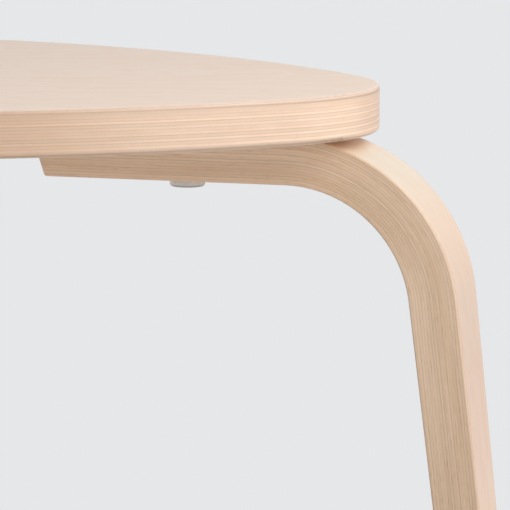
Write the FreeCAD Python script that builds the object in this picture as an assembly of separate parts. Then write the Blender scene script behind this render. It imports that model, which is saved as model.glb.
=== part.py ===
"""Stacking stool: a plywood seat on three laminated, bent and tapered wooden legs.

Millimetres, +Z up. The origin is on the floor under the middle of the seat, and leg 1 points
along +X. Each piece of the stool is one solid in a file of its own.
"""
import FreeCAD, Part
import math
import os

from FreeCAD import Vector

# Seat: a flat plate, a triangle with bulging sides and round corners
seat_height = 450.0
seat_thickness = 21.0
seat_corner_reach = 189.5
seat_side_reach = 148.0
seat_corner_radius = 77.0
seat_upper_edge_radius = 1.4
seat_lower_edge_radius = 2.0

# Leg: a flat run under the seat, a bend outside it and an upright that leans outwards
leg_count = 3
leg_width = 40.0
foot_width = 19.5
run_thickness = 22.2
run_start = 38.0
run_end_slant = 17.4
bend_start = 153.0
bend_inner_radius = 58.3
bend_outer_radius = 81.0
inner_lean = 6.8
outer_lean = 6.3
leg_edge_radius = 1.0
leg_end_edge_radius = 1.5

# Leg screws: countersunk M6 with a hexagon socket, three in each leg, driven from below
screw_length = 30.0
screw_radius = 3.0
screw_head_radius = 6.0
screw_head_rim = 0.4
screw_recess = 0.6
screw_tip_chamfer = 0.8
screw_socket_width = 4.0
screw_socket_depth = 2.3
screw_hole_radius = 3.25
inner_screw_reach = 58.0
outer_screw_reach = 125.0
outer_screw_spacing = 20.0

# Threaded inserts: flanged sleeves let into the seat's underside
insert_length = 13.0
insert_radius = 5.0
insert_flange_radius = 7.0
insert_flange_thickness = 1.6
insert_chamfer = 0.8
insert_pocket_spare = 1.0

# Stacking bumpers: soft buttons with a ribbed stem, pushed into the underside of each run
bumper_reach = 101.0
bumper_radius = 8.2
bumper_height = 4.5
bumper_edge_radius = 2.0
bumper_stem_length = 10.0
bumper_stem_radius = 2.5
bumper_stem_chamfer = 1.0
bumper_rib_radius = 3.0
bumper_rib_count = 3
bumper_rib_pitch = 2.6
bumper_hole_spare = 1.0

# Foot glides, each held by a pin with its head up in the glide's recess
glide_height = 4.0
glide_radius = 8.5
glide_edge_radius = 1.5
glide_recess_radius = 3.8
glide_recess_depth = 2.4
pin_head_radius = 3.2
pin_head_thickness = 1.3
pin_radius = 1.3
pin_length = 22.0
pin_point_length = 3.0

# How far a cutting shape runs past the face it cuts, and how closely edges are picked
cut_margin = 1.0
pick_margin = 0.01

# Worked out from the sizes above
seat_underside = seat_height - seat_thickness
run_underside = seat_underside - run_thickness
outer_bend_height = seat_underside - bend_outer_radius
inner_bend_height = run_underside - bend_inner_radius
leg_spacing = 360.0 / leg_count


def polar(reach, angle, height=0.0):
    """A point at a reach and an angle in degrees about the seat's middle."""
    turn = math.radians(angle)
    return Vector(reach * math.cos(turn), reach * math.sin(turn), height)


def section_point(reach, height):
    """A point in the upright plane through leg 1, in which every section is drawn."""
    return Vector(reach, 0.0, height)


def moved(shape, reach, side, height):
    """A copy of a shape, shifted."""
    copy = shape.copy()
    copy.translate(Vector(reach, side, height))
    return copy


def at_leg(shape, number):
    """A copy of a shape made for leg 1, turned about the seat's middle to another leg."""
    copy = shape.copy()
    copy.rotate(Vector(0, 0, 0), Vector(0, 0, 1), (number - 1) * leg_spacing)
    return copy


def polygon_face(corners):
    """A flat face inside straight edges."""
    return Part.Face(Part.makePolygon(corners + corners[:1]))


def revolved(corners, rim=None):
    """A solid of revolution about Z.

    Its half section runs through the corners. With a rim, an arc leads from the last corner
    round to the first one, else a straight edge does.
    """
    if rim is None:
        section = polygon_face(corners)
    else:
        section = Part.Face(Part.Wire([Part.makePolygon(corners), rim]))
    return section.revolve(Vector(0, 0, 0), Vector(0, 0, 1), 360.0)


def rounded_rim(radius, edge_radius, low):
    """The lower rim of a button: its first point, its last point and the arc between them."""
    centre = section_point(radius - edge_radius, low + edge_radius)
    slant = edge_radius * math.sqrt(0.5)
    first = centre - Vector(0, 0, edge_radius)
    last = centre + Vector(edge_radius, 0, 0)
    arc = Part.Arc(first, centre + Vector(slant, 0, -slant), last).toShape()
    return first, last, arc


def screw_places():
    """The three screws of leg 1, as (name, reach, side)."""
    aside = outer_screw_spacing / 2
    return [
        ("inner", inner_screw_reach, 0.0),
        ("left", outer_screw_reach, aside),
        ("right", outer_screw_reach, -aside),
    ]


def seat_outline():
    """Three corner arcs joined by three wide side arcs, tangent where they meet.

    A side arc's centre lies past the seat's middle by side_offset. It is as far from a corner
    arc's centre as the two radii differ, and that gives side_offset.
    """
    corner_offset = seat_corner_reach - seat_corner_radius
    side_rise = seat_side_reach - seat_corner_radius
    side_offset = (corner_offset ** 2 - side_rise ** 2) / (2 * side_rise - corner_offset)
    half_turn = math.radians(leg_spacing / 2)
    joint_angle = math.degrees(math.atan2(
        side_offset * math.sin(half_turn),
        corner_offset + side_offset * math.cos(half_turn),
    ))
    edges = []
    for corner in range(leg_count):
        angle = corner * leg_spacing
        next_angle = angle + leg_spacing
        centre = polar(corner_offset, angle)
        next_centre = polar(corner_offset, next_angle)
        first = centre + polar(seat_corner_radius, angle - joint_angle)
        last = centre + polar(seat_corner_radius, angle + joint_angle)
        next_first = next_centre + polar(seat_corner_radius, next_angle - joint_angle)
        edges.append(Part.Arc(first, polar(seat_corner_reach, angle), last).toShape())
        side_middle = polar(seat_side_reach, angle + leg_spacing / 2)
        edges.append(Part.Arc(last, side_middle, next_first).toShape())
    return Part.Wire(edges)


def insert_pocket():
    """The stepped hole for one threaded insert, upwards from height 0."""
    pocket_depth = insert_length + insert_pocket_spare
    return revolved([
        section_point(0, -cut_margin),
        section_point(insert_flange_radius, -cut_margin),
        section_point(insert_flange_radius, insert_flange_thickness),
        section_point(insert_radius, insert_flange_thickness),
        section_point(insert_radius, pocket_depth),
        section_point(0, pocket_depth),
    ])


def seat():
    """The seat plate with rounded rims and a pocket for each threaded insert."""
    outline = seat_outline()
    outline.translate(Vector(0, 0, seat_underside))
    plate = Part.Face(outline).extrude(Vector(0, 0, seat_thickness))
    upper_rim = [edge for edge in plate.Edges if edge.BoundBox.ZMin > seat_height - pick_margin]
    plate = plate.makeFillet(seat_upper_edge_radius, upper_rim)
    lower_rim = [edge for edge in plate.Edges if edge.BoundBox.ZMax < seat_underside + pick_margin]
    plate = plate.makeFillet(seat_lower_edge_radius, lower_rim)
    pockets = [moved(insert_pocket(), reach, side, seat_underside)
               for _, reach, side in screw_places()]
    for number in range(1, leg_count + 1):
        plate = plate.cut([at_leg(pocket, number) for pocket in pockets])
    return plate


def bend_point(radius, centre_height, angle):
    """A point on a bend's arc, at an angle in degrees above the level of the arc's centre."""
    turn = math.radians(angle)
    reach = bend_start + radius * math.cos(turn)
    return section_point(reach, centre_height + radius * math.sin(turn))


def bent_face(radius, centre_height, lean):
    """One bent face of the leg: the bend's first, middle and last point, and the foot's."""
    first = bend_point(radius, centre_height, 90.0)
    middle = bend_point(radius, centre_height, (90.0 + lean) / 2)
    last = bend_point(radius, centre_height, lean)
    spread = (last.z - glide_height) * math.tan(math.radians(lean))
    foot = section_point(last.x + spread, glide_height)
    return first, middle, last, foot


def outer_face():
    """The leg's upper and outer face."""
    return bent_face(bend_outer_radius, outer_bend_height, outer_lean)


def inner_face():
    """The leg's lower and inner face."""
    return bent_face(bend_inner_radius, inner_bend_height, inner_lean)


def leg_profile():
    """The leg seen from the side: run, bend and upright, thinner towards the foot."""
    outer_first, outer_middle, outer_last, outer_foot = outer_face()
    inner_first, inner_middle, inner_last, inner_foot = inner_face()
    end_shift = run_thickness * math.tan(math.radians(run_end_slant))
    end_top = section_point(run_start - end_shift, seat_underside)
    end_low = section_point(run_start, run_underside)
    return Part.Wire([
        Part.makeLine(end_top, outer_first),
        Part.Arc(outer_first, outer_middle, outer_last).toShape(),
        Part.makeLine(outer_last, outer_foot),
        Part.makeLine(outer_foot, inner_foot),
        Part.makeLine(inner_foot, inner_last),
        Part.Arc(inner_last, inner_middle, inner_first).toShape(),
        Part.makeLine(inner_first, end_low),
        Part.makeLine(end_low, end_top),
    ])


def foot_reach():
    """How far the middle of a foot is from the seat's middle."""
    outer_foot = outer_face()[-1]
    inner_foot = inner_face()[-1]
    return (outer_foot.x + inner_foot.x) / 2


def front_taper():
    """A wedge along leg 1, as wide as the leg at the seat and as narrow as the foot below."""
    top = leg_width / 2
    low = foot_width / 2
    front = polygon_face([
        Vector(0, -top, seat_underside),
        Vector(0, top, seat_underside),
        Vector(0, low, glide_height),
        Vector(0, -low, glide_height),
    ])
    return front.extrude(Vector(bend_start + 2 * bend_outer_radius, 0, 0))


def at_leg_end(edge):
    """Whether an edge of leg 1 belongs to the foot's end or to the run's inner end."""
    box = edge.BoundBox
    at_foot = box.ZMax < glide_height + pick_margin
    at_run_end = box.XMax < run_start + pick_margin
    return at_foot or at_run_end


def along_leg_side(edge):
    """Whether an edge of leg 1 lies wholly on one of the leg's two side faces."""
    box = edge.BoundBox
    return box.YMin > pick_margin or box.YMax < -pick_margin


def leg_blank():
    """The bent leg with its tapering sides, its ends and its long edges rounded."""
    profile = leg_profile()
    profile.translate(Vector(0, -leg_width / 2, 0))
    slab = Part.Face(profile).extrude(Vector(0, leg_width, 0))
    blank = slab.common(front_taper())
    end_edges = [edge for edge in blank.Edges if at_leg_end(edge) and not along_leg_side(edge)]
    blank = blank.makeFillet(leg_end_edge_radius, end_edges)
    side_edges = [edge for edge in blank.Edges if along_leg_side(edge)]
    return blank.makeFillet(leg_edge_radius, side_edges)


def screw_hole():
    """The countersunk hole for one leg screw, upwards from height 0."""
    cone_low = screw_recess + screw_head_rim
    cone_high = cone_low + screw_head_radius - screw_hole_radius
    return revolved([
        section_point(0, -cut_margin),
        section_point(screw_head_radius, -cut_margin),
        section_point(screw_head_radius, cone_low),
        section_point(screw_hole_radius, cone_high),
        section_point(screw_hole_radius, run_thickness + cut_margin),
        section_point(0, run_thickness + cut_margin),
    ])


def bumper_hole():
    """The blind hole for a bumper's stem, upwards from height 0."""
    depth = bumper_stem_length + bumper_hole_spare
    return Part.makeCylinder(bumper_rib_radius, depth + cut_margin, Vector(0, 0, -cut_margin))


def leg():
    """Leg 1, with its three screw holes and the blind holes for the bumper and the pin."""
    holes = [moved(screw_hole(), reach, side, run_underside)
             for _, reach, side in screw_places()]
    holes.append(moved(bumper_hole(), bumper_reach, 0.0, run_underside))
    holes.append(moved(pin(), foot_reach(), 0.0, 0.0))
    return leg_blank().cut(holes)


def screw():
    """A countersunk screw with its head at height 0 and its hexagon socket open downwards."""
    cone_top = screw_head_rim + screw_head_radius - screw_radius
    body = revolved([
        section_point(0, 0),
        section_point(screw_head_radius, 0),
        section_point(screw_head_radius, screw_head_rim),
        section_point(screw_radius, cone_top),
        section_point(screw_radius, screw_length - screw_tip_chamfer),
        section_point(screw_radius - screw_tip_chamfer, screw_length),
        section_point(0, screw_length),
    ])
    corner_radius = screw_socket_width / math.sqrt(3)
    hexagon = polygon_face([polar(corner_radius, 60.0 * corner) for corner in range(6)])
    return body.cut(hexagon.extrude(Vector(0, 0, screw_socket_depth)))


def insert():
    """A threaded insert with its flange's face at height 0."""
    return revolved([
        section_point(screw_radius, 0),
        section_point(insert_flange_radius, 0),
        section_point(insert_flange_radius, insert_flange_thickness),
        section_point(insert_radius, insert_flange_thickness),
        section_point(insert_radius, insert_length - insert_chamfer),
        section_point(insert_radius - insert_chamfer, insert_length),
        section_point(screw_radius, insert_length),
    ])


def bumper():
    """A stacking bumper: its head hangs below height 0 and its ribbed stem stands above."""
    rim_low, rim_high, rim = rounded_rim(bumper_radius, bumper_edge_radius, -bumper_height)
    corners = [
        rim_high,
        section_point(bumper_radius, 0),
        section_point(bumper_stem_radius, 0),
    ]
    for rib in range(bumper_rib_count):
        rib_low = (rib + 0.5) * bumper_rib_pitch
        rib_high = rib_low + bumper_rib_pitch / 2
        corners.append(section_point(bumper_stem_radius, rib_low))
        corners.append(section_point(bumper_rib_radius, rib_low))
        corners.append(section_point(bumper_stem_radius, rib_high))
    chamfer_start = bumper_stem_length - bumper_stem_chamfer
    corners.append(section_point(bumper_stem_radius, chamfer_start))
    corners.append(section_point(bumper_stem_radius - bumper_stem_chamfer, bumper_stem_length))
    corners.append(section_point(0, bumper_stem_length))
    corners.append(section_point(0, -bumper_height))
    corners.append(rim_low)
    return revolved(corners, rim)


def glide():
    """A foot glide on the floor, with a rounded rim and a recess for the pin's head."""
    rim_low, rim_high, rim = rounded_rim(glide_radius, glide_edge_radius, 0.0)
    corners = [
        rim_high,
        section_point(glide_radius, glide_height),
        section_point(pin_radius, glide_height),
        section_point(pin_radius, glide_recess_depth),
        section_point(glide_recess_radius, glide_recess_depth),
        section_point(glide_recess_radius, 0),
        rim_low,
    ]
    return revolved(corners, rim)


def pin():
    """The pin through a glide, head down and point up."""
    head_low = glide_recess_depth - pin_head_thickness
    point_high = glide_recess_depth + pin_length
    return revolved([
        section_point(0, head_low),
        section_point(pin_head_radius, head_low),
        section_point(pin_head_radius, glide_recess_depth),
        section_point(pin_radius, glide_recess_depth),
        section_point(pin_radius, point_high - pin_point_length),
        section_point(0, point_high),
    ])


def leg_pieces():
    """Leg 1 and everything that belongs to it, in place, as (name pattern, solid) pairs."""
    made = [("leg_{}", leg())]
    for name, reach, side in screw_places():
        fitted_screw = moved(screw(), reach, side, run_underside + screw_recess)
        fitted_insert = moved(insert(), reach, side, seat_underside)
        made.append(("leg_{}_screw_" + name, fitted_screw))
        made.append(("leg_{}_insert_" + name, fitted_insert))
    made.append(("stacking_bumper_{}", moved(bumper(), bumper_reach, 0.0, run_underside)))
    made.append(("foot_glide_{}", moved(glide(), foot_reach(), 0.0, 0.0)))
    made.append(("glide_pin_{}", moved(pin(), foot_reach(), 0.0, 0.0)))
    return made


def pieces():
    """Every piece of the stool in its place, by name."""
    made = {"seat": seat()}
    for number in range(1, leg_count + 1):
        for name, shape in leg_pieces():
            made[name.format(number)] = at_leg(shape, number)
    return made


os.makedirs("parts", exist_ok=True)
for node, shape in pieces().items():
    assert len(shape.Solids) == 1 and shape.isValid(), node
    solid = shape.Solids[0]
    solid.exportStep(f"parts/{node}.step")
    print(f"{node}: {solid.Volume / 1000:.2f} cm3, {len(solid.Faces)} faces")
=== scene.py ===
"""Looks of a stacking stool: a birch plywood seat on three bent, laminated birch legs.

Metres, in the frame of the CAD model: +Z up, the origin on the floor under the middle of the
seat, leg 1 along +X. The camera stands where the photograph was taken from.
"""
import logging
import math
from dataclasses import dataclass
from enum import Enum
from functools import reduce
from typing import Any, ClassVar, Sequence

import bpy
import numpy as np
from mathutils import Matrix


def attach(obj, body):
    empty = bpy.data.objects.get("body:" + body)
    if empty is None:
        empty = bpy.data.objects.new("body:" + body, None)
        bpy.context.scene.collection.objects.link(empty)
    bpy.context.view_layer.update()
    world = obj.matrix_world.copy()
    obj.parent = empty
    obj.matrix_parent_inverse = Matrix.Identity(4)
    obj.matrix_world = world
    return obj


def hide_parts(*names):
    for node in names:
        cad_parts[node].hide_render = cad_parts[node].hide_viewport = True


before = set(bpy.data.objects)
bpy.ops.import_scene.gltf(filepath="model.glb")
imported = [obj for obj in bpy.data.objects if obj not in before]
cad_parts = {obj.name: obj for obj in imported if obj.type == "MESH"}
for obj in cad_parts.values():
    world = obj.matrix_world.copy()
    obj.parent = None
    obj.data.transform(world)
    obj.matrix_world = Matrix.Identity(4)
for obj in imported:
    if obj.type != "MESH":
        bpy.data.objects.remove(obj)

logging.basicConfig(level=logging.INFO, format="%(levelname)s %(message)s")
log = logging.getLogger("stacking_stool")

MM = 0.001
BODY = "root"
LEG_COUNT = 3
LEG_SPACING = 2 * math.pi / LEG_COUNT
POLE_SPREAD = 1e-6 * MM

Socket = bpy.types.NodeSocket
Value = Socket | float
Colour = tuple[float, float, float, float]
Band = tuple[float, float]
Inputs = dict[int | str, Any]

WHITE: Colour = (1.0, 1.0, 1.0, 1.0)


def shade(red: int, green: int, blue: int) -> Colour:
    """The linear colour that a screen colour of 0 to 255 stands for.

    A channel c, as a share of 255, becomes c / 12.92 up to 0.04045, and (c + 0.055) / 1.055 to
    the power 2.4 above it.

    Args:
        red: the red of the screen colour.
        green: its green.
        blue: its blue.

    Returns:
        The linear colour, with an alpha of 1.
    """
    screen = np.array([red, green, blue]) / 255
    linear = np.where(screen <= 0.04045, screen / 12.92, ((screen + 0.055) / 1.055) ** 2.4)
    return (float(linear[0]), float(linear[1]), float(linear[2]), 1.0)


class Screw(Enum):
    """The three screws of a leg."""

    INNER = "inner"
    LEFT = "left"
    RIGHT = "right"


# Node graphs


@dataclass
class Graph:
    """Adds shader nodes to a material or a world and joins them."""

    tree: bpy.types.NodeTree

    def feed(self, node: bpy.types.Node, inputs: Inputs) -> None:
        """Joins a node's inputs to other sockets, or sets their constants.

        Args:
            node: the node.
            inputs: what its inputs take, by their names or numbers.
        """
        for place, value in inputs.items():
            if isinstance(value, bpy.types.NodeSocket):
                self.tree.links.new(value, node.inputs[place])
            else:
                node.inputs[place].default_value = value

    def node(self, kind: str, inputs: Inputs, **settings: Any) -> bpy.types.NodeOutputs:
        """Adds a node.

        Args:
            kind: the node's type.
            inputs: what its inputs take, by their names or numbers.
            settings: properties of the node and their values.

        Returns:
            The new node's outputs.
        """
        made = self.tree.nodes.new(kind)
        for name, value in settings.items():
            setattr(made, name, value)
        self.feed(made, inputs)
        return made.outputs

    def math(self, operation: str, *values: Value) -> Socket:
        """The result of a Math node."""
        return self.node("ShaderNodeMath", dict(enumerate(values)), operation=operation)[0]

    def product(self, first: Value, second: Value) -> Socket:
        """The product of two numbers."""
        return self.math("MULTIPLY", first, second)

    def total(self, *values: Value) -> Socket:
        """The sum of several numbers."""
        return reduce(lambda first, second: self.math("ADD", first, second), values)

    def rest(self, share: Value) -> Socket:
        """What a share leaves of 1."""
        return self.math("SUBTRACT", 1.0, share)

    def away(self, first: Value, second: Value) -> Socket:
        """How far apart two numbers are."""
        return self.math("ABSOLUTE", self.math("SUBTRACT", first, second))

    def rounding(self, facing: Value) -> Socket:
        """1 on a rounded edge, 0 on a face: 4 s (1 - s), where s is facing squared."""
        level = self.product(facing, facing)
        return self.product(self.product(level, 4.0), self.rest(level))

    def vector(self, operation: str, *values: Any) -> bpy.types.NodeOutputs:
        """The outputs of a Vector Math node, a vector and a number."""
        return self.node("ShaderNodeVectorMath", dict(enumerate(values)), operation=operation)

    def dot(self, first: Any, second: Any) -> Socket:
        """The dot product of two vectors."""
        return self.vector("DOT_PRODUCT", first, second)[1]

    def scaled(self, vector: Any, factor: Value) -> Socket:
        """A vector times a number."""
        return self.node("ShaderNodeVectorMath", {0: vector, 3: factor}, operation="SCALE")[0]

    def combine(self, x: Value, y: Value, z: Value) -> Socket:
        """A vector of three numbers."""
        return self.node("ShaderNodeCombineXYZ", {0: x, 1: y, 2: z})[0]

    def separate(self, vector: Socket) -> bpy.types.NodeOutputs:
        """The three numbers of a vector."""
        return self.node("ShaderNodeSeparateXYZ", {0: vector})

    def noise(self, vector: Socket, detail: float = 2.0, roughness: float = 0.5,
              distortion: float = 0.0) -> Socket:
        """Smooth noise at a place that is already scaled.

        Args:
            vector: the place.
            detail: how many finer layers it has.
            roughness: how strong they are.
            distortion: how much it is swirled.

        Returns:
            The socket of a number from 0 to 1.
        """
        inputs = {"Vector": vector, "Scale": 1.0, "Detail": detail, "Roughness": roughness,
                  "Distortion": distortion}
        return self.node("ShaderNodeTexNoise", inputs, noise_dimensions="3D")["Fac"]

    def chance(self, number: Value) -> Socket:
        """An even random number between 0 and 1 for each number."""
        return self.node("ShaderNodeTexWhiteNoise", {"W": number}, noise_dimensions="1D")["Value"]

    def blend(self, share: Value, first: Value, second: Value) -> Socket:
        """The first number at a share of 0, the second at 1."""
        return self.node("ShaderNodeMix", {0: share, 2: first, 3: second}, data_type="FLOAT")[0]

    def tint(self, share: Value, first: Socket | Colour, second: Socket | Colour,
             way: str = "MIX") -> Socket:
        """The first colour at a share of 0, the second, blended with it in a way, at 1."""
        inputs = {0: share, 6: first, 7: second}
        return self.node("ShaderNodeMix", inputs, data_type="RGBA", blend_type=way)[2]

    def stretch(self, value: Value, low: float, high: float) -> Socket:
        """0 at the low number, 1 at the high one, eased between them and held beyond."""
        inputs = {0: value, 1: low, 2: high, 3: 0.0, 4: 1.0}
        return self.node("ShaderNodeMapRange", inputs, interpolation_type="SMOOTHSTEP")[0]

    def object_point(self) -> Socket:
        """The shaded point in the object's own frame."""
        return self.node("ShaderNodeTexCoord", {})["Object"]

    def object_normal(self) -> Socket:
        """The surface's direction in the object's own frame."""
        return self.node("ShaderNodeTexCoord", {})["Normal"]

    def bump(self, height: Socket, strength: float, depth: float) -> Socket:
        """The surface's direction, roughened by a height from 0 to 1 that stands for a depth."""
        inputs = {"Strength": strength, "Distance": depth, "Height": height}
        return self.node("ShaderNodeBump", inputs)["Normal"]

    def mixed(self, share: Socket, first: Socket, second: Socket) -> Socket:
        """The first shader at a share of 0, the second at 1."""
        return self.node("ShaderNodeMixShader", {0: share, 1: first, 2: second})[0]


def new_material(name: str) -> tuple[bpy.types.Material, Graph, bpy.types.Node]:
    """A material with one principled shader.

    Args:
        name: the material's name.

    Returns:
        The material, its graph and the shader's node.
    """
    material = bpy.data.materials.new(name)
    material.use_nodes = True
    graph = Graph(material.node_tree)
    shader = next(node for node in graph.tree.nodes if node.type == "BSDF_PRINCIPLED")
    return material, graph, shader


# Wood


@dataclass(frozen=True)
class Streaks:
    """Noise that is drawn out along the grain."""

    along: float  # features in a metre along the grain
    across: float  # features in a metre across it
    low: float  # the noise that becomes 0
    high: float  # the noise that becomes 1
    detail: float  # its finer layers
    roughness: float = 0.5  # how strong the finer layers are
    distortion: float = 0.0  # how much it is swirled

    def read(self, graph: Graph, along: Value, across: Value, depth: Value) -> Socket:
        """The streaks at a place in the wood.

        Args:
            graph: the material's graph.
            along: metres along the grain.
            across: metres across the grain in the veneer.
            depth: metres through the veneers.

        Returns:
            The socket of a number from 0 to 1.
        """
        place = graph.combine(graph.product(along, self.along),
                              graph.product(across, self.across),
                              graph.product(depth, self.across))
        noise = graph.noise(place, self.detail, self.roughness, self.distortion)
        return graph.stretch(noise, self.low, self.high)


@dataclass(frozen=True)
class Lacquer:
    """A satin lacquer that follows the grain."""

    roughness: float = 0.37  # its roughness where there is no grain
    on_grain: float = 0.12  # how much rougher it is on the darkest grain
    on_arris: float = 0.08  # how much smoother it is rubbed on a rounded edge
    grain_height: float = 0.05 * MM  # how high the grain stands
    grain_strength: float = 0.25  # how much of that height shows
    refraction: float = 1.5  # its index of refraction
    gloss: float = 0.25  # how much of a clear coat lies on top
    gloss_roughness: float = 0.28  # the clear coat's roughness


@dataclass(frozen=True)
class Birch:
    """Lacquered birch: its colours, and how strongly its grain and veneers show."""

    face: Colour  # a face veneer between its growth lines
    face_line: Colour  # its growth lines
    side: Colour  # veneers that are cut through, at the side of the pile
    side_line: Colour  # the fibres there
    face_streaks: float = 0.5  # how strongly the growth lines show on a face, 0 to 1
    side_streaks: float = 0.45  # how strongly the fibres show on a cut side
    veneer_spread: float = 0.025  # how far a cut veneer's tone is from the mean, at most
    joint_spread: float = 0.12  # the range of the tones of the thin joints between veneers
    joint_tone: float = -0.06  # how much brighter the joints are than the veneers, on average
    joint_band: Band = (0.05, 0.25)  # from a joint's middle, in veneers, where it fades
    cut_band: Band = (0.5, 0.9)  # the facing, 1 on a face veneer, where cut veneers vanish
    arris_shade: Colour = (0.83, 0.85, 0.93, 1.0)  # painted shade: what the wood on a rounded edge is multiplied by
    # bands of tone a few millimetres wide
    broad: Streaks = Streaks(7.0, 90.0, 0.3, 0.7, detail=2.0, distortion=0.3)
    broad_weights: Band = (0.3, 0.5)  # how dark they are on a face and on a cut side
    # short flecks, which only a face veneer has
    mottle: Streaks = Streaks(55.0, 130.0, 0.42, 0.68, detail=3.0, roughness=0.6,
                              distortion=0.8)
    mottle_weight: float = 0.4  # how dark they are
    fine: Streaks = Streaks(30.0, 900.0, 0.3, 0.75, detail=3.0, roughness=0.6)  # fine fibres
    fine_weight: float = 0.3  # how dark they are
    pores: Streaks = Streaks(180.0, 2600.0, 0.58, 0.72, detail=1.0)  # scattered pores
    pore_weights: Band = (0.2, 0.5)  # how dark they are on a face and on a cut side
    lacquer: Lacquer = Lacquer()  # the lacquer over it

    def cut(self, graph: Graph, facing: Value) -> Socket:
        """0 on a face veneer, 1 where the veneers are cut through."""
        return graph.rest(graph.stretch(facing, *self.cut_band))

    def fibre(self, graph: Graph, along: Value, across: Value, depth: Value,
              cut: Socket) -> Socket:
        """How dark the grain is at a place in the wood, 0 to 1.

        Args:
            graph: the material's graph.
            along: metres along the grain.
            across: metres across the grain in the veneer.
            depth: metres through the veneers.
            cut: 0 on a face veneer, 1 where the veneers are cut through.

        Returns:
            The darkness's socket.
        """
        place = (graph, along, across, depth)
        broad = self.broad.read(*place)
        on_face, on_side = self.broad_weights
        flecks = graph.product(self.mottle.read(*place), self.mottle_weight)
        face = graph.math("MULTIPLY_ADD", broad, on_face, flecks)
        return graph.total(
            graph.blend(cut, face, graph.product(broad, on_side)),
            graph.product(self.fine.read(*place), self.fine_weight),
            graph.product(self.pores.read(*place), graph.blend(cut, *self.pore_weights)),
        )

    def pile(self, graph: Graph, place: Socket, seed: float) -> Socket:
        """How bright a pile of veneers is where it is cut through, about 1.

        Each veneer has a tone of its own, and so has each thin joint between two veneers.

        Args:
            graph: the material's graph.
            place: the depth in the pile, counted in veneers.
            seed: what the random tones are drawn from.

        Returns:
            The brightness's socket.
        """
        veneer = graph.chance(graph.math("ADD", graph.math("FLOOR", place), seed))
        veneer = graph.product(graph.math("SUBTRACT", veneer, 0.5), 2 * self.veneer_spread)
        nearest = graph.math("ROUND", place)
        joint = graph.chance(graph.math("ADD", nearest, seed + 0.5))
        joint = graph.math("MULTIPLY_ADD", graph.math("SUBTRACT", joint, 0.5),
                           self.joint_spread, self.joint_tone)
        line = graph.rest(graph.stretch(graph.away(place, nearest), *self.joint_band))
        return graph.math("ADD", graph.blend(line, veneer, joint), 1.0)

    def wood(self, graph: Graph, fibre: Socket, cut: Socket, pile: Socket) -> Socket:
        """The wood's colour, from a face veneer to a cut side.

        Args:
            graph: the material's graph.
            fibre: how dark the grain is.
            cut: 0 on a face veneer, 1 where the veneers are cut through.
            pile: how bright the cut veneers are.

        Returns:
            The colour's socket.
        """
        face = graph.tint(graph.product(fibre, self.face_streaks), self.face, self.face_line)
        side = graph.tint(graph.product(fibre, self.side_streaks), self.side, self.side_line)
        return graph.tint(cut, face, graph.scaled(side, pile))

    def finish(self, graph: Graph, shader: bpy.types.Node, colour: Socket, fibre: Socket,
               arris_shade: Socket) -> None:
        """Feeds the shader: colour, lacquer, and painted shade and smoother lacquer on arrises.

        Args:
            graph: the material's graph.
            shader: the principled shader.
            colour: the wood's colour.
            fibre: how dark the grain is.
            arris_shade: 1 on a rounded edge, 0 on a flat face; painted shade dims the wood there.
        """
        lacquer = self.lacquer
        grain = graph.math("MULTIPLY_ADD", fibre, lacquer.on_grain, lacquer.roughness)
        rubbed = graph.math("MULTIPLY_ADD", arris_shade, -lacquer.on_arris, grain)
        # painted shade: the colour is dimmed on rounded edges, where the light falls off
        graph.feed(shader, {
            "Base Color": graph.tint(arris_shade, colour, self.arris_shade, "MULTIPLY"),
            "Roughness": rubbed,
            "Normal": graph.bump(fibre, lacquer.grain_strength, lacquer.grain_height),
            "IOR": lacquer.refraction,
            "Coat Weight": lacquer.gloss,
            "Coat Roughness": lacquer.gloss_roughness,
        })


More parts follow.
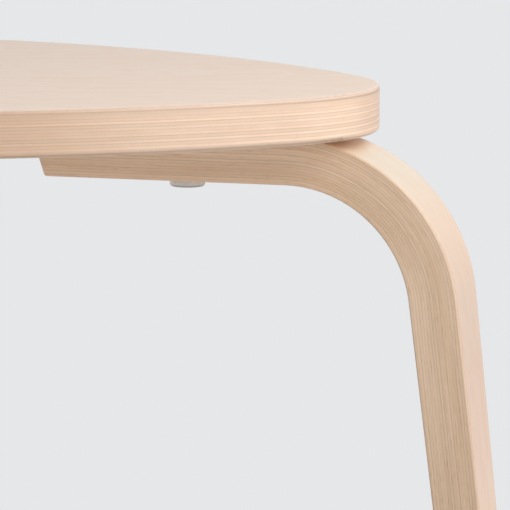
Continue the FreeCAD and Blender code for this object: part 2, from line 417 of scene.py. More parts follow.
@dataclass(frozen=True)
class Plywood:
    """Birch plywood: thin veneers with their grain turned a quarter each time.

    The edge's look changes round the plate with its facing: the square of its direction
    along the face grain, 0 where that grain runs along the edge and 1 where it ends there. A
    band is the range over which something comes in or fades, and what is left is the share of
    it where the grain runs along the edge.
    """

    birch: Birch  # the wood and its lacquer
    top: float  # the height of the upper face
    thickness: float  # from the lower to the upper face
    veneers: int = 15  # how many veneers it has
    veneer_offset: float = 137.0 * MM  # how far each veneer's figure is moved along
    grain_turn: float = math.radians(12.0)  # the face veneer's grain direction about Z, in radians
    seed: float = 3.0  # what the veneers' random tones are drawn from
    line_shift: float = 0.3  # how much lower the joints are than even ones, in veneers
    lower_power: float = 3.0  # the power of the slope that keeps the lower rim's veneers cut
    glance: float = 0.14  # how much brighter every second veneer is where the face grain ends
    glance_band: Band = (0.05, 0.5)  # the facing over which this comes in
    glance_left: float = 0.2  # what is left of it
    glance_streak: Band = (0.05, 0.45)  # from a bright veneer's middle, where the streak fades
    first_bright: int = 4  # the first bright veneer, counted from 0, which is bright all round
    first_joint: float = 0.22  # how much darker the joint under the face veneer is
    first_band: Band = (0.1, 0.6)  # from that joint, in veneers, where the dark fades
    first_left: float = 0.25  # what is left of it
    lowest_shade: float = 0.22  # painted shade: how much darker the lowest veneers are painted, for the shade low on the edge
    lowest_band: Band = (2.3, 1.3)  # above the underside, in veneers, where this comes in
    lowest_rise: Band = (0.1, 0.25)  # the facing over which it grows
    lowest_left: float = 0.4  # what is left of it
    lowest_fall: Band = (0.7, 0.85)  # the facing over which it ends
    grain_end: float = 0.09  # how much darker the edge is where the face grain ends
    grain_end_band: Band = (0.6, 1.0)  # the facing over which this comes in
    # what dims the edge where the face grain runs along it or ends at it
    end_grain: Colour = (0.9, 0.85, 0.8, 1.0)
    square_band: Band = (0.06, 0.2)  # the facing over which it fades where the grain runs along
    ending_band: Band = (0.7, 1.0)  # the facing over which it comes in again
    ending_share: float = 0.8  # how strong it is there
    lower_rim: float = 0.1  # how strongly painted shade dims the lower rim, as a share of the upper one
    rim_band: Band = (0.05, 0.35)  # the facing over which the painted shade on the rims comes in
    rim_left: float = 0.5  # what is left of it

    def material(self, name: str) -> bpy.types.Material:
        """Makes the plywood's material.

        Args:
            name: the material's name.

        Returns:
            The material.
        """
        material, graph, shader = new_material(name)
        point = graph.object_point()
        normal = graph.object_normal()
        grain = (math.cos(self.grain_turn), math.sin(self.grain_turn), 0.0)
        cross = (-math.sin(self.grain_turn), math.cos(self.grain_turn), 0.0)
        depth = graph.math("SUBTRACT", self.top, graph.separate(point)[2])
        place = graph.math("DIVIDE", depth, self.thickness / self.veneers)
        number = graph.math("MAXIMUM", graph.math("FLOOR", place), 0.0)
        number = graph.math("MINIMUM", number, self.veneers - 1.0)
        turned = graph.math("MODULO", number, 2.0)
        first = graph.dot(point, grain)
        second = graph.dot(point, cross)
        along = graph.blend(turned, first, second)
        across = graph.blend(turned, second, first)
        shifted = graph.math("MULTIPLY_ADD", number, self.veneer_offset, along)
        upward = graph.math("ABSOLUTE", graph.separate(normal)[2])
        below = graph.math("LESS_THAN", graph.separate(normal)[2], 0.0)
        flat = graph.blend(below, upward, graph.math("POWER", upward, self.lower_power))
        cut = self.birch.cut(graph, flat)
        fibre = self.birch.fibre(graph, shifted, across, depth, cut)
        facing = graph.dot(normal, grain)
        facing = graph.product(facing, facing)
        joints = graph.math("SUBTRACT", place, self.line_shift)
        pile = graph.math("ADD", self.birch.pile(graph, joints, self.seed),
                          self.lines(graph, joints, facing))
        colour = self.birch.wood(graph, fibre, cut, pile)
        colour = graph.tint(self.ends(graph, facing, cut), colour, self.end_grain, "MULTIPLY")
        # painted shade on the rounded rims, much weaker on the lower one, given to the arris shade
        rim = graph.product(graph.rounding(upward), graph.blend(below, 1.0, self.lower_rim))
        rim = graph.product(rim, graph.blend(graph.stretch(facing, *self.rim_band),
                                             self.rim_left, 1.0))
        self.birch.finish(graph, shader, colour, fibre, rim)
        return material

    def ends(self, graph: Graph, facing: Socket, cut: Socket) -> Socket:
        """How far the edge has the colour of end grain.

        Args:
            graph: the material's graph.
            facing: the edge's facing.
            cut: 0 on a face veneer, 1 where the veneers are cut through.

        Returns:
            The share's socket.
        """
        square = graph.rest(graph.stretch(facing, *self.square_band))
        ending = graph.product(graph.stretch(facing, *self.ending_band), self.ending_share)
        return graph.product(graph.math("MAXIMUM", square, ending), cut)

    def lines(self, graph: Graph, place: Socket, facing: Socket) -> Socket:
        """How much brighter or darker the edge's veneers are than the random pile.

        Every second veneer from the first bright one shines where the face grain ends, and
        the first one shines all round. The joint under the face veneer is dark, most where
        the grain ends. The lowest veneers are darkened with painted shade except there, and
        there the whole edge is a little darker.

        Args:
            graph: the material's graph.
            place: the depth in the plate, counted in veneers.
            facing: the edge's facing.

        Returns:
            The socket of the change in brightness.
        """
        ending = graph.stretch(facing, *self.glance_band)
        number = graph.math("FLOOR", place)
        even = graph.rest(graph.math("MODULO", number, 2.0))
        above = graph.math("SUBTRACT", number, float(self.first_bright))
        shining = graph.product(graph.blend(ending, self.glance_left, 1.0),
                                graph.math("GREATER_THAN", above, 0.5))
        shining = graph.math("MAXIMUM", shining, graph.math("COMPARE", above, 0.0, 0.5))
        middle = graph.away(graph.math("FRACT", place), 0.5)
        streak = graph.rest(graph.stretch(middle, *self.glance_streak))
        bright = graph.product(graph.product(graph.product(even, shining), streak), self.glance)
        first = graph.rest(graph.stretch(graph.away(place, 1.0), *self.first_band))
        first = graph.product(first, graph.blend(ending, self.first_left, 1.0))
        # painted shade: the lowest veneers are darkened for the shade low on the edge
        begin, end = self.lowest_band
        lowest = graph.stretch(place, self.veneers - begin, self.veneers - end)
        rise = graph.stretch(facing, *self.lowest_rise)
        lowest = graph.product(lowest, graph.blend(rise, self.lowest_left, 1.0))
        lowest = graph.product(lowest, graph.rest(graph.stretch(facing, *self.lowest_fall)))
        dark = graph.total(
            graph.product(first, self.first_joint),
            graph.product(lowest, self.lowest_shade),
            graph.product(graph.stretch(facing, *self.grain_end_band), self.grain_end),
        )
        return graph.math("SUBTRACT", bright, dark)


@dataclass(frozen=True)
class BentLamination:
    """A leg's blank of veneers glued up and bent, with the grain along the leg.

    A place in the blank is found from a place in the bent leg in this way. The turn round the
    bend is the angle of the point about the centre of the outer bend, held between none and
    the whole bend. The depth is the outer radius less the point's reach in that direction.
    The length along the blank counts from the start of the bend: it is the bend's arc up to
    the turn, and what lies past its tangent.
    """

    birch: Birch  # the wood and its lacquer
    bend_start: float  # how far from the seat's middle the bend starts
    centre_height: float  # the height of the centre of the outer bend
    radius: float  # the outer bend's radius
    lean: float  # the upright's lean outwards, in radians
    veneer: float = 1.3875 * MM  # the thickness of one veneer
    leg_offset: float = 0.83  # how far a leg's figure is moved along, for each radian of its turn
    seed: float = 11.0  # what leg 1's random tones are drawn from
    seed_step: float = 7.0  # how much further on another leg draws them, for each radian
    wander: float = 0.25  # how far the joints wander from even veneers, in veneers
    wander_scale: float = 25.0  # how many times a metre they wander
    figure: float = 200.0 * MM  # how long a slow wave of tone along the face veneer is
    figure_start: float = 1.16  # where in the wave the bend begins, in radians
    figure_depth: float = 0.06  # how strong the wave is
    # how long a slower wave of hue along the face veneer is, from pale to rosy and back
    hue: float = 300.0 * MM
    pale_place: float = 20.0 * MM  # where along the blank the veneer is palest
    pale: Colour = (1.0, 1.04, 1.04, 1.0)  # what the palest wood is multiplied by
    rosy: Colour = (1.01, 0.96, 0.95, 1.0)  # what the rosiest wood is multiplied by
    # painted sheen: what the wood at the top of the bend is multiplied by, paler where light from
    # above falls
    bend_sheen: Colour = (0.99, 1.08, 1.12, 1.0)
    sheen_band: Band = (45.0 * MM, 85.0 * MM)  # where along the blank this fading ends
    # where along the blank this painted sheen ends
    overhang_band: Band = (40.0 * MM / 3, 40.0 * MM)
    # painted shade: what the wood under the seat's overhang is multiplied by, a warm tint for the
    # shadow and its warm bounce light
    overhang_shade: Colour = (1.2, 0.98, 0.83, 1.0)

    def place(self, graph: Graph, point: Socket) -> tuple[Socket, Socket, Socket, Socket]:
        """Where a point of leg 1 was in the straight blank.

        Args:
            graph: the material's graph.
            point: the point, in leg 1's place.

        Returns:
            The lengths along the blank, across it and down from its outer face, and the
            outward direction of the outer face there.
        """
        reach, across, height = graph.separate(point)
        out = graph.math("SUBTRACT", reach, self.bend_start)
        up = graph.math("SUBTRACT", height, self.centre_height)
        turn = graph.math("MAXIMUM", graph.math("ARCTAN2", out, up), 0.0)
        turn = graph.math("MINIMUM", turn, math.pi / 2 - self.lean)
        sine = graph.math("SINE", turn)
        cosine = graph.math("COSINE", turn)
        outward = graph.combine(sine, 0.0, cosine)
        onward = graph.combine(cosine, 0.0, graph.product(sine, -1.0))
        offset = graph.combine(out, 0.0, up)
        depth = graph.math("SUBTRACT", self.radius, graph.dot(offset, outward))
        along = graph.math("MULTIPLY_ADD", turn, self.radius, graph.dot(offset, onward))
        return along, across, depth, outward

    def material(self, name: str, leg_turn: float) -> bpy.types.Material:
        """Makes the material of one leg.

        Args:
            name: the material's name.
            leg_turn: the leg's turn about the seat's middle, in radians.

        Returns:
            The material.
        """
        material, graph, shader = new_material(name)
        point = self.turned_back(graph, graph.object_point(), leg_turn)
        normal = self.turned_back(graph, graph.object_normal(), leg_turn)
        along, across, depth, outward = self.place(graph, point)
        shifted = graph.math("ADD", along, self.leg_offset * leg_turn)
        facing = graph.math("ABSOLUTE", graph.dot(normal, outward))
        cut = self.birch.cut(graph, facing)
        fibre = self.birch.fibre(graph, shifted, across, depth, cut)
        stray = graph.noise(graph.combine(graph.product(shifted, self.wander_scale), across, 0.0))
        place = graph.math("MULTIPLY_ADD", graph.math("SUBTRACT", stray, 0.5), self.wander,
                           graph.math("DIVIDE", depth, self.veneer))
        pile = self.birch.pile(graph, place, self.seed + self.seed_step * leg_turn)
        colour = self.birch.wood(graph, fibre, cut, pile)
        colour = graph.scaled(colour, graph.blend(cut, self.tone(graph, shifted), 1.0))
        colour = graph.tint(graph.rest(cut), colour, self.hues(graph, shifted, along), "MULTIPLY")
        self.birch.finish(graph, shader, colour, fibre, graph.rounding(facing))
        return material

    def tone(self, graph: Graph, shifted: Socket) -> Socket:
        """The slow wave of tone along the face veneer: 1 plus its depth times a cosine."""
        turn = graph.math("MULTIPLY_ADD", shifted, 2 * math.pi / self.figure, -self.figure_start)
        return graph.math("MULTIPLY_ADD", graph.math("COSINE", turn), self.figure_depth, 1.0)

    def hues(self, graph: Graph, shifted: Socket, along: Socket) -> Socket:
        """The slow wave of hue along the face veneer, with painted sheen and shade near the seat.

        The share of the rosy colour is half of 1 less the cosine of the distance from the
        palest place, where a full turn is the wave's length. Under the seat's overhang a warm,
        redder painted shade stands in for the shadow there, and from there to the middle of
        the bend a paler painted sheen stands in for the light from above.

        Args:
            graph: the material's graph.
            shifted: the length along the blank, with the leg's own offset.
            along: the length along the blank.

        Returns:
            The socket of the colour that the wood is multiplied by.
        """
        phase = graph.product(graph.math("SUBTRACT", shifted, self.pale_place),
                              2 * math.pi / self.hue)
        share = graph.math("MULTIPLY_ADD", graph.math("COSINE", phase), -0.5, 0.5)
        # painted sheen: the top of the bend is paled, as if lit from above
        sheen_share = graph.rest(graph.stretch(along, *self.sheen_band))
        with_sheen = graph.tint(sheen_share, graph.tint(share, self.pale, self.rosy), self.bend_sheen,
                           "MULTIPLY")
        # painted shade: a warm shadow tint under the seat's overhang, fading out along the bend
        return graph.tint(graph.stretch(along, *self.overhang_band), self.overhang_shade, with_sheen)

    def turned_back(self, graph: Graph, vector: Socket, leg_turn: float) -> Socket:
        """A vector of some leg, turned about Z to leg 1's place."""
        inputs = {"Vector": vector, "Angle": -leg_turn}
        return graph.node("ShaderNodeVectorRotate", inputs, rotation_type="Z_AXIS")[0]


# Plastic and metal


@dataclass(frozen=True)
class SoftPlastic:
    """Translucent plastic with a faint moulded texture."""

    colour: Colour
    deep: Colour  # the colour of the cloudier parts
    glow: float  # how much light passes into it, 0 to 1
    roughness: float  # its middle roughness
    edge: Colour = WHITE  # painted shade: what the colour is multiplied by on a rounded rim
    cloud_scale: float = 250.0  # how many clouds a metre holds
    grit_scale: float = 2500.0  # how many grains of the texture a metre holds
    grit_roughness: float = 0.15  # how much rougher the highest grains are
    grit_height: float = 0.03 * MM  # how high they are
    grit_strength: float = 0.15  # how much of that height shows
    light_depth: float = 3.0 * MM  # how deep light goes into it
    # how deep red, green and blue go, as shares of that
    light_shares: tuple[float, float, float] = (1.0, 0.9, 0.8)

    def material(self, name: str) -> bpy.types.Material:
        """Makes the plastic's material.

        Args:
            name: the material's name.

        Returns:
            The material.
        """
        material, graph, shader = new_material(name)
        point = graph.object_point()
        cloud = graph.noise(graph.scaled(point, self.cloud_scale), detail=3.0)
        grit = graph.noise(graph.scaled(point, self.grit_scale))
        # painted shade: the rounded rims are dimmed by the edge colour
        rim = graph.rounding(graph.separate(graph.object_normal())[2])
        colour = graph.tint(cloud, self.colour, self.deep)
        graph.feed(shader, {
            "Base Color": graph.tint(rim, colour, self.edge, "MULTIPLY"),
            "Roughness": graph.math("MULTIPLY_ADD", grit, self.grit_roughness, self.roughness),
            "Normal": graph.bump(grit, self.grit_strength, self.grit_height),
            "Subsurface Weight": self.glow,
            "Subsurface Scale": self.light_depth,
            "Subsurface Radius": self.light_shares,
        })
        return material


@dataclass(frozen=True)
class TurnedMetal:
    """Metal with fine turning rings and slight staining."""

    colour: Colour
    stained: Colour  # the colour of its dull spots
    roughness: float  # its roughness where it is clean
    stain_scale: float = 400.0  # how many spots a metre holds
    stain_band: Band = (0.45, 0.7)  # the noise over which a spot comes in
    stain_roughness: float = 0.15  # how much rougher a spot is
    # how many rings a metre holds in each direction
    ring_scale: tuple[float, float, float] = (900.0, 900.0, 6000.0)
    ring_roughness: float = 0.1  # how much rougher the highest rings are
    ring_height: float = 0.02 * MM  # how high they are
    ring_strength: float = 0.2  # how much of that height shows

    def material(self, name: str) -> bpy.types.Material:
        """Makes the metal's material.

        Args:
            name: the material's name.

        Returns:
            The material.
        """
        material, graph, shader = new_material(name)
        point = graph.object_point()
        spots = graph.noise(graph.scaled(point, self.stain_scale), detail=4.0)
        stain = graph.stretch(spots, *self.stain_band)
        rings = graph.noise(graph.vector("MULTIPLY", point, self.ring_scale)[0])
        graph.feed(shader, {
            "Base Color": graph.tint(stain, self.colour, self.stained),
            "Roughness": graph.total(graph.product(stain, self.stain_roughness),
                                     graph.product(rings, self.ring_roughness),
                                     self.roughness),
            "Normal": graph.bump(rings, self.ring_strength, self.ring_height),
            "Metallic": 1.0,
        })
        return material


# Meshes


def closed_grid(points: np.ndarray, name: str) -> bpy.types.Mesh:
    """A mesh over a grid of points that closes round its second direction.

    Row i, place j joins row i + 1 and place j + 1, and the last place joins the first. A row
    whose points all lie together is a pole, and becomes one point with a fan round it.

    Args:
        points: the grid, rows by places by 3.
        name: the mesh's name.

    Returns:
        The mesh.
    """
    rows, places, _ = points.shape
    spread = np.ptp(points, axis=1).max(axis=1)
    pole = spread < POLE_SPREAD
    index = np.arange(rows * places).reshape(rows, places)
    index[pole] = index[pole, :1]
    after = np.roll(index, -1, axis=1)
    quads = np.stack([index[:-1], after[:-1], after[1:], index[1:]], axis=-1).reshape(-1, 4)
    used, flat = np.unique(quads, return_inverse=True)
    quads = flat.reshape(-1, 4)
    corners = points.reshape(-1, 3)[used]
    fan_low = quads[:, 0] == quads[:, 1]
    fan_high = quads[:, 2] == quads[:, 3]
    whole = quads[~(fan_low | fan_high)]
    low = quads[fan_low & ~fan_high][:, [0, 2, 3]]
    high = quads[fan_high & ~fan_low][:, [0, 1, 2]]
    mesh = bpy.data.meshes.new(name)
    mesh.from_pydata(corners.tolist(), [], whole.tolist() + low.tolist() + high.tolist())
    mesh.validate()
    return mesh


def turned(profile: np.ndarray, places: int) -> np.ndarray:
    """A surface of revolution about Z as a grid.

    Each profile point at radius r and height z becomes a ring: (r cos a, r sin a, z) for the
    angles a of a full turn.

    Args:
        profile: the points of the half section, count by 2, as radius and height.
        places: how many places each ring has.

    Returns:
        The grid, profile points by places by 3.
    """
    angle = np.linspace(0, 2 * np.pi, places, endpoint=False)
    radius = profile[:, :1]
    height = np.repeat(profile[:, 1:], places, axis=1)
    return np.stack([radius * np.cos(angle), radius * np.sin(angle), height], axis=-1)


def arc(centre: tuple[float, float], radius: float, start: float, end: float,
        count: int) -> np.ndarray:
    """Points on an arc in a half section: the centre plus the radius at even angles.

    Args:
        centre: the arc's centre, as radius and height.
        radius: the arc's radius.
        start: the first angle, in degrees.
        end: the last angle.
        count: how many points.

    Returns:
        The points, count by 2.
    """
    angle = np.radians(np.linspace(start, end, count))
    return np.stack([centre[0] + radius * np.cos(angle), centre[1] + radius * np.sin(angle)], 1)


def placed(points: np.ndarray, offset: Sequence[float], leg: int) -> np.ndarray:
    """Points made at the origin, put in their place on leg 1 and turned to another leg.

    Args:
        points: any array of points.
        offset: the place on leg 1.
        leg: the leg's number, from 1.

    Returns:
        The points in their place.
    """
    turn = (leg - 1) * LEG_SPACING
    x, y, z = np.moveaxis(points + np.asarray(offset), -1, 0)
    return np.stack([
        x * math.cos(turn) - y * math.sin(turn),
        x * math.sin(turn) + y * math.cos(turn),
        z,
    ], axis=-1)


def add_piece(name: str, mesh: bpy.types.Mesh, material: bpy.types.Material, node: str,
              sharp_angle: float = 35.0) -> bpy.types.Object:
    """Adds a piece that stands for a CAD node.

    Args:
        name: the piece's name.
        mesh: its mesh, in place.
        material: its material.
        node: the CAD node it stands for.
        sharp_angle: edges sharper than this, in degrees, stay crisp.

    Returns:
        The piece's object.
    """
    piece = bpy.data.objects.new(name, mesh)
    bpy.context.scene.collection.objects.link(piece)
    mesh.shade_smooth()
    mesh.set_sharp_from_angle(angle=math.radians(sharp_angle))
    mesh.materials.append(material)
    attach(piece, BODY)
    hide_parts(node)
    log.info("%s: %d faces", name, len(mesh.polygons))
    return piece


def dress_node(node: str, material: bpy.types.Material) -> None:
    """Gives a CAD node that keeps its shape a better material.

    Args:
        node: the node's name.
        material: its material.
    """
    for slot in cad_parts[node].material_slots:
        slot.material = material
    log.info("%s: CAD shape, %s", node, material.name)


# The stool's pieces


@dataclass
class SeatPlate:
    """The seat: a plywood plate with rounded rims."""

    birch: Birch
    top: float = 450.0 * MM
    thickness: float = 21.0 * MM

    def dress(self) -> None:
        """Gives the plate its plywood."""
        plywood = Plywood(self.birch, self.top, self.thickness)
        dress_node("seat", plywood.material("seat_plywood"))


@dataclass
class BentLeg:
    """A leg: a run under the seat, a bend and a tapering upright, of glued veneers."""

    number: int
    birch: Birch
    bend_start: float = 153.0 * MM
    bend_radius: float = 81.0 * MM
    seat_underside: float = 429.0 * MM
    lean: float = math.radians(6.3)

    def dress(self) -> None:
        """Gives the leg its bent veneers."""
        centre_height = self.seat_underside - self.bend_radius
        blank = BentLamination(self.birch, self.bend_start, centre_height, self.bend_radius,
                               self.lean)
        turn = (self.number - 1) * LEG_SPACING
        name = f"leg_{self.number}"
        dress_node(name, blank.material(f"{name}_veneers", turn))


@dataclass
class TurnedPiece:
    """A piece turned about an upright line that stands on a leg's middle plane."""

    node: ClassVar[str]
    title: ClassVar[str]
    slot: ClassVar[str]
    number: int
    reach: float = 0.0
    places: int = 96

    def section(self) -> np.ndarray:
        """The half section, count by 2, as radius and height."""
        raise NotImplementedError

    def build(self, material: bpy.types.Material) -> None:
        """Makes the piece.

        Args:
            material: its material.
        """
        grid = placed(turned(self.section(), self.places), (self.reach, 0.0, 0.0), self.number)
        node = f"{self.node}_{self.number}"
        mesh = closed_grid(grid, node)
        add_piece(f"{self.title}_{self.number}", mesh, material, node)


@dataclass
class StackingBumper(TurnedPiece):
    """A soft button under a leg's run, with a ribbed stem up in the leg."""

    node = "stacking_bumper"
    title = "bumper_button"
    slot = "bumper_plastic"
    reach: float = 101.0 * MM
    level: float = 406.8 * MM
    radius: float = 8.2 * MM
    height: float = 4.5 * MM
    edge_radius: float = 1.5 * MM
    stem_radius: float = 2.5 * MM
    stem_length: float = 10.0 * MM
    rib_radius: float = 3.0 * MM
    rib_pitch: float = 2.6 * MM
    rib_count: int = 3
    tip_chamfer: float = 1.0 * MM
    dimple_radius: float = 1.6 * MM
    dimple_depth: float = 0.25 * MM
    dimple_share: float = 0.6

    def section(self) -> np.ndarray:
        """The half section from the dimple's middle round the rim and up to the stem's tip.

        Returns:
            The points, as radius and height.
        """
        low = self.level - self.height
        rib_low = self.level + (np.arange(self.rib_count) + 0.5) * self.rib_pitch
        ribs = np.stack([
            np.stack([np.full(self.rib_count, self.stem_radius), rib_low], 1),
            np.stack([np.full(self.rib_count, self.rib_radius), rib_low], 1),
            np.stack([np.full(self.rib_count, self.stem_radius), rib_low + self.rib_pitch / 2], 1),
        ], axis=1).reshape(-1, 2)
        tip = self.level + self.stem_length
        hollow = low + self.dimple_depth
        edge = (self.radius - self.edge_radius, low + self.edge_radius)
        return np.concatenate([
            [[0.0, hollow], [self.dimple_share * self.dimple_radius, hollow]],
            arc((self.dimple_radius + self.dimple_depth, hollow), self.dimple_depth, 180, 270,
                count=4),
            [[self.dimple_radius + 2 * self.dimple_depth, low]],
            arc(edge, self.edge_radius, -90, 0, count=12),
            [[self.radius, self.level], [self.stem_radius, self.level]],
            ribs,
            [[self.stem_radius, tip - self.tip_chamfer],
             [self.stem_radius - self.tip_chamfer, tip],
             [0.0, tip]],
        ])


@dataclass
class LegScrew:
    """A countersunk machine screw, head down, with a hexagon socket."""

    leg: int
    place: Screw
    level: float = 407.4 * MM
    inner_reach: float = 58.0 * MM
    outer_reach: float = 125.0 * MM
    spacing: float = 20.0 * MM
    head_radius: float = 6.0 * MM
    head_rim: float = 0.4 * MM
    rim_chamfer: float = 0.2 * MM
    chamfer_height: float = 0.15 * MM
    radius: float = 3.0 * MM
    length: float = 30.0 * MM
    tip_chamfer: float = 0.8 * MM
    socket_width: float = 4.0 * MM
    socket_depth: float = 2.3 * MM
    socket_chamfer: float = 0.25 * MM
    chamfer_width: float = 0.4 * MM
    chamfer_hexagon: float = 0.3
    socket_point: float = 0.5 * MM
    point_share: float = 0.9
    places: int = 72
    sharp_angle: float = 25.0

    def offset(self) -> tuple[float, float, float]:
        """The screw's place on leg 1.

        Returns:
            How far out, how far aside and how high it is.
        """
        aside = {Screw.INNER: 0.0, Screw.LEFT: 0.5, Screw.RIGHT: -0.5}[self.place]
        reach = self.inner_reach if self.place is Screw.INNER else self.outer_reach
        return reach, aside * self.spacing, self.level

    def grid(self) -> np.ndarray:
        """The screw's surface as a grid.

        Each ring has a reach, a height and a share of hexagon. A ring's radius at angle a is
        its reach times a blend of 1 and the hexagon's 1 / cos of a's distance from the
        middle of the nearest flat.

        Returns:
            The grid, rings by places by 3.
        """
        flat = self.socket_width / 2
        cone_top = self.head_rim + self.head_radius - self.radius
        rings = np.array([
            [0.0, self.socket_depth + self.socket_point, 0.0],
            [flat * self.point_share, self.socket_depth, 0.0],
            [flat, self.socket_depth, 1.0],
            [flat, self.socket_chamfer, 1.0],
            [flat + self.chamfer_width, 0.0, self.chamfer_hexagon],
            [self.head_radius - self.rim_chamfer, 0.0, 0.0],
            [self.head_radius, self.chamfer_height, 0.0],
            [self.head_radius, self.head_rim, 0.0],
            [self.radius, cone_top, 0.0],
            [self.radius, self.length - self.tip_chamfer, 0.0],
            [self.radius - self.tip_chamfer, self.length, 0.0],
            [0.0, self.length, 0.0],
        ])
        angle = np.linspace(0, 2 * np.pi, self.places, endpoint=False)
        from_flat = np.mod(angle, np.pi / 3) - np.pi / 6
        hexagon = 1 / np.cos(from_flat)
        reach, height, share = (column[:, None] for column in rings.T)
        radius = reach * (1 + share * (hexagon - 1))
        tall = np.repeat(height, self.places, axis=1)
        return np.stack([radius * np.cos(angle), radius * np.sin(angle), tall], axis=-1)

    def build(self, material: bpy.types.Material) -> None:
        """Makes the screw.

        Args:
            material: its metal.
        """
        node = f"leg_{self.leg}_screw_{self.place.value}"
        mesh = closed_grid(placed(self.grid(), self.offset(), self.leg), node)
        name = f"socket_screw_{self.leg}_{self.place.value}"
        add_piece(name, mesh, material, node, self.sharp_angle)


@dataclass
class FootGlide(TurnedPiece):
    """A plastic button under a foot, with a recess for the pin's head."""

    node = "foot_glide"
    title = "glide_button"
    slot = "glide_plastic"
    reach: float = 262.631 * MM
    height: float = 4.0 * MM
    radius: float = 8.5 * MM
    edge_radius: float = 1.5 * MM
    recess_radius: float = 3.8 * MM
    recess_depth: float = 2.4 * MM
    recess_chamfer: float = 0.3 * MM
    bore_radius: float = 1.3 * MM
    top_chamfer: float = 0.2 * MM

    def section(self) -> np.ndarray:
        """The half section from the bore's top down through the recess and round the rim.

        Returns:
            The points, as radius and height.
        """
        edge = (self.radius - self.edge_radius, self.edge_radius)
        return np.concatenate([
            [[self.bore_radius, self.height],
             [self.bore_radius, self.recess_depth],
             [self.recess_radius, self.recess_depth],
             [self.recess_radius, self.recess_chamfer],
             [self.recess_radius + self.recess_chamfer, 0.0]],
            arc(edge, self.edge_radius, -90, 0, count=10),
            [[self.radius, self.height - self.top_chamfer],
             [self.radius - self.top_chamfer, self.height],
             [self.bore_radius, self.height]],
        ])


@dataclass
class GlidePin(TurnedPiece):
    """The pin through a glide: a low domed head, a plain shank and a point."""

    node = "glide_pin"
    title = "glide_nail"
    slot = "pin_steel"
    reach: float = 262.631 * MM
    head_level: float = 1.1 * MM
    head_radius: float = 3.2 * MM
    head_thickness: float = 1.3 * MM
    dome: float = 0.35 * MM
    radius: float = 1.3 * MM
    length: float = 22.0 * MM
    point: float = 3.0 * MM
    dome_rings: int = 8
    places: int = 48

    def section(self) -> np.ndarray:
        """The half section from the head's middle up to the point.

        Returns:
            The points, as radius and height.
        """
        share = np.linspace(0, 1, self.dome_rings)
        head = np.stack([self.head_radius * share, self.head_level + self.dome * share ** 2], 1)
        shoulder = self.head_level + self.head_thickness
        tip = shoulder + self.length
        return np.concatenate([head, [
            [self.head_radius, shoulder],
            [self.radius, shoulder],
            [self.radius, tip - self.point],
            [0.0, tip],
        ]])


# Studio and camera


@dataclass(frozen=True)
class SoftLamp:
    """A square soft lamp that leaves no glare on the lacquer."""

    name: str
    azimuth: float  # its direction about the point it faces, in degrees from +X
    elevation: float  # its height above that point, in degrees
    power: float  # its power in watts
    distance: float = 1.8  # how far it is, in metres
    size: float = 1.2  # its width

    def build(self, target: Sequence[float]) -> None:
        """Makes the lamp.

        Args:
            target: the point that it faces.
        """
        light = bpy.data.lights.new(self.name, "AREA")
        light.shape = "SQUARE"
        light.size = self.size
        light.energy = self.power
        lamp = bpy.data.objects.new(self.name, light)
        lamp.visible_camera = False
        lamp.visible_glossy = False
        bpy.context.scene.collection.objects.link(lamp)
        turn, rise = math.radians(self.azimuth), math.radians(self.elevation)
        outward = np.array([
            math.cos(rise) * math.cos(turn),
            math.cos(rise) * math.sin(turn),
            math.sin(rise),
        ])
        lamp.location = np.asarray(target) + self.distance * outward
        lamp.rotation_euler = (math.pi / 2 - rise, 0.0, turn + math.pi / 2)


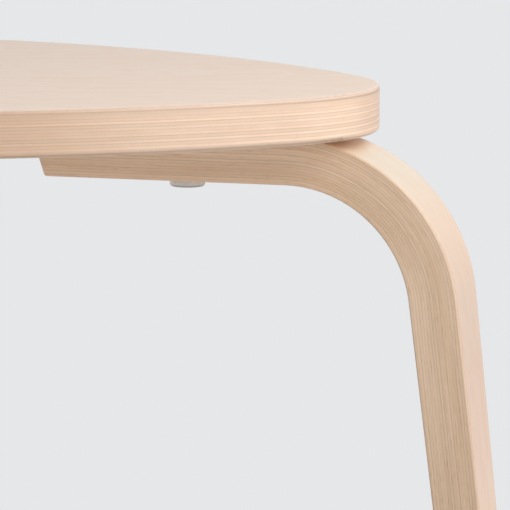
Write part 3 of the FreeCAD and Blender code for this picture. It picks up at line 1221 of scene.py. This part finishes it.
@dataclass
class Studio:
    """A pale floor without an end, a plain world and large soft lamps."""

    backdrop: Colour = shade(230, 231, 233)  # the colour that the camera sees behind the stool
    floor_colour: Colour = shade(220, 220, 221)  # the floor near the stool
    floor_roughness: float = 0.8  # how matt the floor is
    floor_reach: float = 40.0  # half the floor's width
    bare_radius: float = 0.45  # how far from the stool the floor shows its own colour
    fade_radius: float = 1.0  # where it has become the backdrop
    veil: float = 0.6  # how much of the backdrop the camera sees on the floor near the stool
    ambient: float = 0.25  # how brightly the world lights the stool
    aim: tuple[float, float, float] = (0.1, 0.0, 0.4)  # the point near the seat that the lamps face
    lamps: tuple[SoftLamp, ...] = (
        SoftLamp("high_key", azimuth=-13.0, elevation=55.0, power=14.0),
        SoftLamp("low_key", azimuth=-5.0, elevation=30.0, power=9.4),
        SoftLamp("side", azimuth=-28.0, elevation=30.0, power=3.05, distance=0.9, size=0.6),
        SoftLamp("back_fill", azimuth=140.0, elevation=5.0, power=11.0),
    )

    def seen(self, graph: Graph) -> Socket:
        """Which rays show the backdrop: the camera's, reflected ones and those through plastic.

        Args:
            graph: the graph of the world or the floor.

        Returns:
            The socket of 1 for such a ray and 0 for any other.
        """
        path = graph.node("ShaderNodeLightPath", {})
        first = graph.math("MAXIMUM", path["Is Camera Ray"], path["Is Glossy Ray"])
        return graph.math("MAXIMUM", first, path["Is Transmission Ray"])

    def world(self) -> None:
        """Makes the world: even light, with the backdrop's colour where it is seen."""
        world = bpy.data.worlds.new("studio")
        world.use_nodes = True
        bpy.context.scene.world = world
        graph = Graph(world.node_tree)
        graph.tree.nodes.clear()
        light = graph.node("ShaderNodeBackground", {"Color": WHITE, "Strength": self.ambient})
        view = graph.node("ShaderNodeBackground", {"Color": self.backdrop})
        both = graph.mixed(self.seen(graph), light[0], view[0])
        graph.node("ShaderNodeOutputWorld", {"Surface": both})

    def floor(self) -> None:
        """Makes the floor: matt near the stool, where it keeps the shadow, backdrop far away."""
        reach = self.floor_reach
        mesh = bpy.data.meshes.new("floor")
        corners = [(-reach, -reach, 0), (reach, -reach, 0), (reach, reach, 0), (-reach, reach, 0)]
        mesh.from_pydata(corners, [], [(0, 1, 2, 3)])
        floor = bpy.data.objects.new("floor", mesh)
        bpy.context.scene.collection.objects.link(floor)
        material, graph, shader = new_material("studio_floor")
        graph.feed(shader, {"Base Color": self.floor_colour, "Roughness": self.floor_roughness})
        glow = graph.node("ShaderNodeEmission", {"Color": self.backdrop})
        distance = graph.vector("LENGTH", graph.object_point())[1]
        far = graph.stretch(distance, self.bare_radius, self.fade_radius)
        veil = graph.product(self.seen(graph), self.veil)
        both = graph.mixed(graph.math("MAXIMUM", far, veil), shader.outputs[0], glow[0])
        output = next(node for node in graph.tree.nodes if node.type == "OUTPUT_MATERIAL")
        graph.feed(output, {"Surface": both})
        mesh.materials.append(material)

    def build(self) -> None:
        """Makes the world, the floor and the lamps."""
        self.world()
        self.floor()
        for lamp in self.lamps:
            lamp.build(self.aim)


@dataclass
class PhotoCamera:
    """The camera of the photograph."""

    position: tuple[float, float, float] = (0.67166, -1.77795, 0.64319)  # in metres
    pitch: float = 8.3197  # how far it looks down, in degrees
    heading: float = 16.8433  # how far it is turned from +Y towards -X, in degrees
    lens: float = 288.95  # its focal length, in millimetres
    film_width: float = 36.0  # the width of its film, in millimetres
    sight: float = 100.0  # how far it sees, in metres

    def build(self) -> None:
        """Makes the camera and gives it to the scene."""
        data = bpy.data.cameras.new("photo_camera")
        data.sensor_fit = "HORIZONTAL"
        data.sensor_width = self.film_width
        data.lens = self.lens
        data.clip_end = self.sight
        camera = bpy.data.objects.new("photo_camera", data)
        camera.location = self.position
        camera.rotation_euler = (math.radians(90 - self.pitch), 0.0, math.radians(self.heading))
        bpy.context.scene.collection.objects.link(camera)
        bpy.context.scene.camera = camera


def dress_inserts(brass: bpy.types.Material) -> None:
    """Gives the threaded inserts, which keep their CAD shapes, their brass.

    Args:
        brass: the material.
    """
    for leg in range(1, LEG_COUNT + 1):
        for place in Screw:
            dress_node(f"leg_{leg}_insert_{place.value}", brass)


def main() -> None:
    """Builds the stool's pieces, the studio and the camera, in that order."""
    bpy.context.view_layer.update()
    bpy.context.scene.view_settings.view_transform = "Standard"
    zinc = TurnedMetal(colour=shade(196, 198, 200), stained=shade(168, 168, 166), roughness=0.3)
    bright = TurnedMetal(colour=shade(190, 190, 190), stained=shade(150, 148, 144),
                         roughness=0.35)
    brass = TurnedMetal(colour=shade(214, 186, 120), stained=shade(176, 144, 84), roughness=0.35)
    bumper = SoftPlastic(colour=shade(234, 232, 226), deep=shade(222, 218, 210), glow=0.5,
                         roughness=0.35, edge=(0.5, 0.5, 0.52, 1.0))
    glide = SoftPlastic(colour=shade(222, 218, 208), deep=shade(208, 203, 192), glow=0.2,
                        roughness=0.45)
    seat_birch = Birch(face=shade(240, 216, 195), face_line=shade(230, 199, 172),
                       side=shade(228, 199, 175), side_line=shade(212, 177, 148),
                       joint_tone=-0.1)
    leg_birch = Birch(face=shade(215, 190, 169), face_line=shade(204, 175, 150),
                      side=shade(245, 215, 185), side_line=shade(214, 178, 141),
                      side_streaks=0.85, veneer_spread=0.035, joint_spread=0.14,
                      joint_tone=-0.12, arris_shade=(0.92, 0.88, 0.88, 1.0))
    zinc_steel = zinc.material("zinc_steel")
    pin_steel = bright.material("pin_steel")
    insert_brass = brass.material("insert_brass")
    bumper_plastic = bumper.material("bumper_plastic")
    glide_plastic = glide.material("glide_plastic")

    SeatPlate(seat_birch).dress()
    for number in range(1, LEG_COUNT + 1):
        BentLeg(number, leg_birch).dress()
        for place in Screw:
            LegScrew(number, place).build(zinc_steel)
        StackingBumper(number).build(bumper_plastic)
        FootGlide(number).build(glide_plastic)
        GlidePin(number).build(pin_steel)
    dress_inserts(insert_brass)

    Studio().build()
    PhotoCamera().build()


if __name__ == "__main__":
    main()
